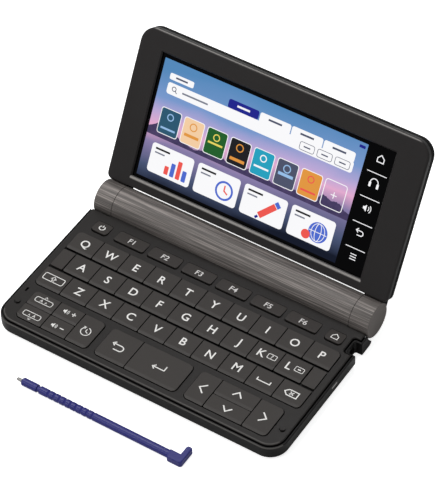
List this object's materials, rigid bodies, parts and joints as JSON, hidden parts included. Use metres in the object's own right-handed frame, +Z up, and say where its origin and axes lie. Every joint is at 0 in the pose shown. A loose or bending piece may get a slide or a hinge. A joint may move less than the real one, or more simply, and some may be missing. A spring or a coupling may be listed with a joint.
{
  "type": "electronic dictionary",
  "caption": "Handheld electronic dictionary: keyboard base, battery barrel hinge, open display lid with a wide screen, and an L-headed stylus lying in front.",
  "frame": {"origin": "on the table, under the middle of the whole object's bounding box with the lid open and the stylus in front", "axes": "+X along the hinge to the right, +Y from the keyboard's front edge to the hinge, +Z up from the table"},
  "size_m": [0.148, 0.1548, 0.0822],
  "materials": {
    "lower_shell": "fine texture",
    "deck": "fine texture",
    "keys": "fine satin",
    "board": "board lacquer",
    "barrel": "brushed along the hinge, dark anodised",
    "cells": "printed sleeve, plain",
    "bezel": "fine texture",
    "panel": "polished",
    "cover": "satin",
    "feet": "matte",
    "stylus": "satin"
  },
  "bodies": {
    "base": {"bottom_case": "lower_shell", "keyboard_deck": "deck", "main_board": "board", "hinge_barrel": "barrel", "battery_cells": "cells", "rubber_feet": "feet"},
    "lid": {"hinge_knuckles": "barrel", "display_bezel": "bezel", "display_panel": "panel", "lid_cover": "cover"},
    "battery_door": {"battery_door": "barrel"},
    "stylus": {"stylus": "stylus"},
    "key_q": {"key_q": "keys"},
    "key_w": {"key_w": "keys"},
    "key_e": {"key_e": "keys"},
    "key_r": {"key_r": "keys"},
    "key_t": {"key_t": "keys"},
    "key_y": {"key_y": "keys"},
    "key_u": {"key_u": "keys"},
    "key_i": {"key_i": "keys"},
    "key_o": {"key_o": "keys"},
    "key_p": {"key_p": "keys"},
    "key_a": {"key_a": "keys"},
    "key_s": {"key_s": "keys"},
    "key_d": {"key_d": "keys"},
    "key_f": {"key_f": "keys"},
    "key_g": {"key_g": "keys"},
    "key_h": {"key_h": "keys"},
    "key_j": {"key_j": "keys"},
    "key_k": {"key_k": "keys"},
    "key_l": {"key_l": "keys"},
    "key_shift": {"key_shift": "keys"},
    "key_z": {"key_z": "keys"},
    "key_x": {"key_x": "keys"},
    "key_c": {"key_c": "keys"},
    "key_v": {"key_v": "keys"},
    "key_b": {"key_b": "keys"},
    "key_n": {"key_n": "keys"},
    "key_m": {"key_m": "keys"},
    "key_space": {"key_space": "keys"},
    "key_delete": {"key_delete": "keys"},
    "key_font_up": {"key_font_up": "keys"},
    "key_font_down": {"key_font_down": "keys"},
    "key_volume_up": {"key_volume_up": "keys"},
    "key_volume_down": {"key_volume_down": "keys"},
    "key_history": {"key_history": "keys"},
    "key_back": {"key_back": "keys"},
    "key_enter": {"key_enter": "keys"},
    "key_left": {"key_left": "keys"},
    "key_up": {"key_up": "keys"},
    "key_down": {"key_down": "keys"},
    "key_right": {"key_right": "keys"},
    "key_power": {"key_power": "keys"},
    "key_home": {"key_home": "keys"},
    "key_menu_1": {"key_menu_1": "keys"},
    "key_menu_2": {"key_menu_2": "keys"},
    "key_menu_3": {"key_menu_3": "keys"},
    "key_menu_4": {"key_menu_4": "keys"},
    "key_menu_5": {"key_menu_5": "keys"},
    "key_menu_6": {"key_menu_6": "keys"}
  },
  "joints": [
    {"name": "lid_hinge", "type": "hinge", "parent": "base", "child": "lid", "pos_m": [0, 0.02934, 0.0092], "axis": [-1, 0, 0], "range_deg": [-119.5, 30.5]},
    {"name": "battery_door_slide", "type": "slide", "parent": "base", "child": "battery_door", "axis": [0, 0, -1], "range_m": [0, 0.006]},
    {"name": "stylus_lift", "type": "slide", "parent": "base", "child": "stylus", "axis": [0, 0, 1], "range_m": [0, 0.05]},
    {"name": "key_q_press", "type": "slide", "parent": "base", "child": "key_q", "axis": [0, 0, -1], "range_m": [0, 0.0005], "stiffness_N_per_m": 400, "springref_m": -0.0003},
    {"name": "key_w_press", "type": "slide", "parent": "base", "child": "key_w", "axis": [0, 0, -1], "range_m": [0, 0.0005], "stiffness_N_per_m": 400, "springref_m": -0.0003},
    {"name": "key_e_press", "type": "slide", "parent": "base", "child": "key_e", "axis": [0, 0, -1], "range_m": [0, 0.0005], "stiffness_N_per_m": 400, "springref_m": -0.0003},
    {"name": "key_r_press", "type": "slide", "parent": "base", "child": "key_r", "axis": [0, 0, -1], "range_m": [0, 0.0005], "stiffness_N_per_m": 400, "springref_m": -0.0003},
    {"name": "key_t_press", "type": "slide", "parent": "base", "child": "key_t", "axis": [0, 0, -1], "range_m": [0, 0.0005], "stiffness_N_per_m": 400, "springref_m": -0.0003},
    {"name": "key_y_press", "type": "slide", "parent": "base", "child": "key_y", "axis": [0, 0, -1], "range_m": [0, 0.0005], "stiffness_N_per_m": 400, "springref_m": -0.0003},
    {"name": "key_u_press", "type": "slide", "parent": "base", "child": "key_u", "axis": [0, 0, -1], "range_m": [0, 0.0005], "stiffness_N_per_m": 400, "springref_m": -0.0003},
    {"name": "key_i_press", "type": "slide", "parent": "base", "child": "key_i", "axis": [0, 0, -1], "range_m": [0, 0.0005], "stiffness_N_per_m": 400, "springref_m": -0.0003},
    {"name": "key_o_press", "type": "slide", "parent": "base", "child": "key_o", "axis": [0, 0, -1], "range_m": [0, 0.0005], "stiffness_N_per_m": 400, "springref_m": -0.0003},
    {"name": "key_p_press", "type": "slide", "parent": "base", "child": "key_p", "axis": [0, 0, -1], "range_m": [0, 0.0005], "stiffness_N_per_m": 400, "springref_m": -0.0003},
    {"name": "key_a_press", "type": "slide", "parent": "base", "child": "key_a", "axis": [0, 0, -1], "range_m": [0, 0.0005], "stiffness_N_per_m": 400, "springref_m": -0.0003},
    {"name": "key_s_press", "type": "slide", "parent": "base", "child": "key_s", "axis": [0, 0, -1], "range_m": [0, 0.0005], "stiffness_N_per_m": 400, "springref_m": -0.0003},
    {"name": "key_d_press", "type": "slide", "parent": "base", "child": "key_d", "axis": [0, 0, -1], "range_m": [0, 0.0005], "stiffness_N_per_m": 400, "springref_m": -0.0003},
    {"name": "key_f_press", "type": "slide", "parent": "base", "child": "key_f", "axis": [0, 0, -1], "range_m": [0, 0.0005], "stiffness_N_per_m": 400, "springref_m": -0.0003},
    {"name": "key_g_press", "type": "slide", "parent": "base", "child": "key_g", "axis": [0, 0, -1], "range_m": [0, 0.0005], "stiffness_N_per_m": 400, "springref_m": -0.0003},
    {"name": "key_h_press", "type": "slide", "parent": "base", "child": "key_h", "axis": [0, 0, -1], "range_m": [0, 0.0005], "stiffness_N_per_m": 400, "springref_m": -0.0003},
    {"name": "key_j_press", "type": "slide", "parent": "base", "child": "key_j", "axis": [0, 0, -1], "range_m": [0, 0.0005], "stiffness_N_per_m": 400, "springref_m": -0.0003},
    {"name": "key_k_press", "type": "slide", "parent": "base", "child": "key_k", "axis": [0, 0, -1], "range_m": [0, 0.0005], "stiffness_N_per_m": 400, "springref_m": -0.0003},
    {"name": "key_l_press", "type": "slide", "parent": "base", "child": "key_l", "axis": [0, 0, -1], "range_m": [0, 0.0005], "stiffness_N_per_m": 400, "springref_m": -0.0003},
    {"name": "key_shift_press", "type": "slide", "parent": "base", "child": "key_shift", "axis": [0, 0, -1], "range_m": [0, 0.0005], "stiffness_N_per_m": 400, "springref_m": -0.0003},
    {"name": "key_z_press", "type": "slide", "parent": "base", "child": "key_z", "axis": [0, 0, -1], "range_m": [0, 0.0005], "stiffness_N_per_m": 400, "springref_m": -0.0003},
    {"name": "key_x_press", "type": "slide", "parent": "base", "child": "key_x", "axis": [0, 0, -1], "range_m": [0, 0.0005], "stiffness_N_per_m": 400, "springref_m": -0.0003},
    {"name": "key_c_press", "type": "slide", "parent": "base", "child": "key_c", "axis": [0, 0, -1], "range_m": [0, 0.0005], "stiffness_N_per_m": 400, "springref_m": -0.0003},
    {"name": "key_v_press", "type": "slide", "parent": "base", "child": "key_v", "axis": [0, 0, -1], "range_m": [0, 0.0005], "stiffness_N_per_m": 400, "springref_m": -0.0003},
    {"name": "key_b_press", "type": "slide", "parent": "base", "child": "key_b", "axis": [0, 0, -1], "range_m": [0, 0.0005], "stiffness_N_per_m": 400, "springref_m": -0.0003},
    {"name": "key_n_press", "type": "slide", "parent": "base", "child": "key_n", "axis": [0, 0, -1], "range_m": [0, 0.0005], "stiffness_N_per_m": 400, "springref_m": -0.0003},
    {"name": "key_m_press", "type": "slide", "parent": "base", "child": "key_m", "axis": [0, 0, -1], "range_m": [0, 0.0005], "stiffness_N_per_m": 400, "springref_m": -0.0003},
    {"name": "key_space_press", "type": "slide", "parent": "base", "child": "key_space", "axis": [0, 0, -1], "range_m": [0, 0.0005], "stiffness_N_per_m": 400, "springref_m": -0.0003},
    {"name": "key_delete_press", "type": "slide", "parent": "base", "child": "key_delete", "axis": [0, 0, -1], "range_m": [0, 0.0005], "stiffness_N_per_m": 400, "springref_m": -0.0003},
    {"name": "key_font_up_press", "type": "slide", "parent": "base", "child": "key_font_up", "axis": [0, 0, -1], "range_m": [0, 0.0005], "stiffness_N_per_m": 400, "springref_m": -0.0003},
    {"name": "key_font_down_press", "type": "slide", "parent": "base", "child": "key_font_down", "axis": [0, 0, -1], "range_m": [0, 0.0005], "stiffness_N_per_m": 400, "springref_m": -0.0003},
    {"name": "key_volume_up_press", "type": "slide", "parent": "base", "child": "key_volume_up", "axis": [0, 0, -1], "range_m": [0, 0.0005], "stiffness_N_per_m": 400, "springref_m": -0.0003},
    {"name": "key_volume_down_press", "type": "slide", "parent": "base", "child": "key_volume_down", "axis": [0, 0, -1], "range_m": [0, 0.0005], "stiffness_N_per_m": 400, "springref_m": -0.0003},
    {"name": "key_history_press", "type": "slide", "parent": "base", "child": "key_history", "axis": [0, 0, -1], "range_m": [0, 0.0005], "stiffness_N_per_m": 400, "springref_m": -0.0003},
    {"name": "key_back_press", "type": "slide", "parent": "base", "child": "key_back", "axis": [0, 0, -1], "range_m": [0, 0.0005], "stiffness_N_per_m": 400, "springref_m": -0.0003},
    {"name": "key_enter_press", "type": "slide", "parent": "base", "child": "key_enter", "axis": [0, 0, -1], "range_m": [0, 0.0005], "stiffness_N_per_m": 400, "springref_m": -0.0003},
    {"name": "key_left_press", "type": "slide", "parent": "base", "child": "key_left", "axis": [0, 0, -1], "range_m": [0, 0.0005], "stiffness_N_per_m": 400, "springref_m": -0.0003},
    {"name": "key_up_press", "type": "slide", "parent": "base", "child": "key_up", "axis": [0, 0, -1], "range_m": [0, 0.0005], "stiffness_N_per_m": 400, "springref_m": -0.0003},
    {"name": "key_down_press", "type": "slide", "parent": "base", "child": "key_down", "axis": [0, 0, -1], "range_m": [0, 0.0005], "stiffness_N_per_m": 400, "springref_m": -0.0003},
    {"name": "key_right_press", "type": "slide", "parent": "base", "child": "key_right", "axis": [0, 0, -1], "range_m": [0, 0.0005], "stiffness_N_per_m": 400, "springref_m": -0.0003},
    {"name": "key_power_press", "type": "slide", "parent": "base", "child": "key_power", "axis": [0, 0, -1], "range_m": [0, 0.0004], "stiffness_N_per_m": 400, "springref_m": -0.0003},
    {"name": "key_home_press", "type": "slide", "parent": "base", "child": "key_home", "axis": [0, 0, -1], "range_m": [0, 0.0004], "stiffness_N_per_m": 400, "springref_m": -0.0003},
    {"name": "key_menu_1_press", "type": "slide", "parent": "base", "child": "key_menu_1", "axis": [0, 0, -1], "range_m": [0, 0.0004], "stiffness_N_per_m": 400, "springref_m": -0.0003},
    {"name": "key_menu_2_press", "type": "slide", "parent": "base", "child": "key_menu_2", "axis": [0, 0, -1], "range_m": [0, 0.0004], "stiffness_N_per_m": 400, "springref_m": -0.0003},
    {"name": "key_menu_3_press", "type": "slide", "parent": "base", "child": "key_menu_3", "axis": [0, 0, -1], "range_m": [0, 0.0004], "stiffness_N_per_m": 400, "springref_m": -0.0003},
    {"name": "key_menu_4_press", "type": "slide", "parent": "base", "child": "key_menu_4", "axis": [0, 0, -1], "range_m": [0, 0.0004], "stiffness_N_per_m": 400, "springref_m": -0.0003},
    {"name": "key_menu_5_press", "type": "slide", "parent": "base", "child": "key_menu_5", "axis": [0, 0, -1], "range_m": [0, 0.0004], "stiffness_N_per_m": 400, "springref_m": -0.0003},
    {"name": "key_menu_6_press", "type": "slide", "parent": "base", "child": "key_menu_6", "axis": [0, 0, -1], "range_m": [0, 0.0004], "stiffness_N_per_m": 400, "springref_m": -0.0003}
  ]
}
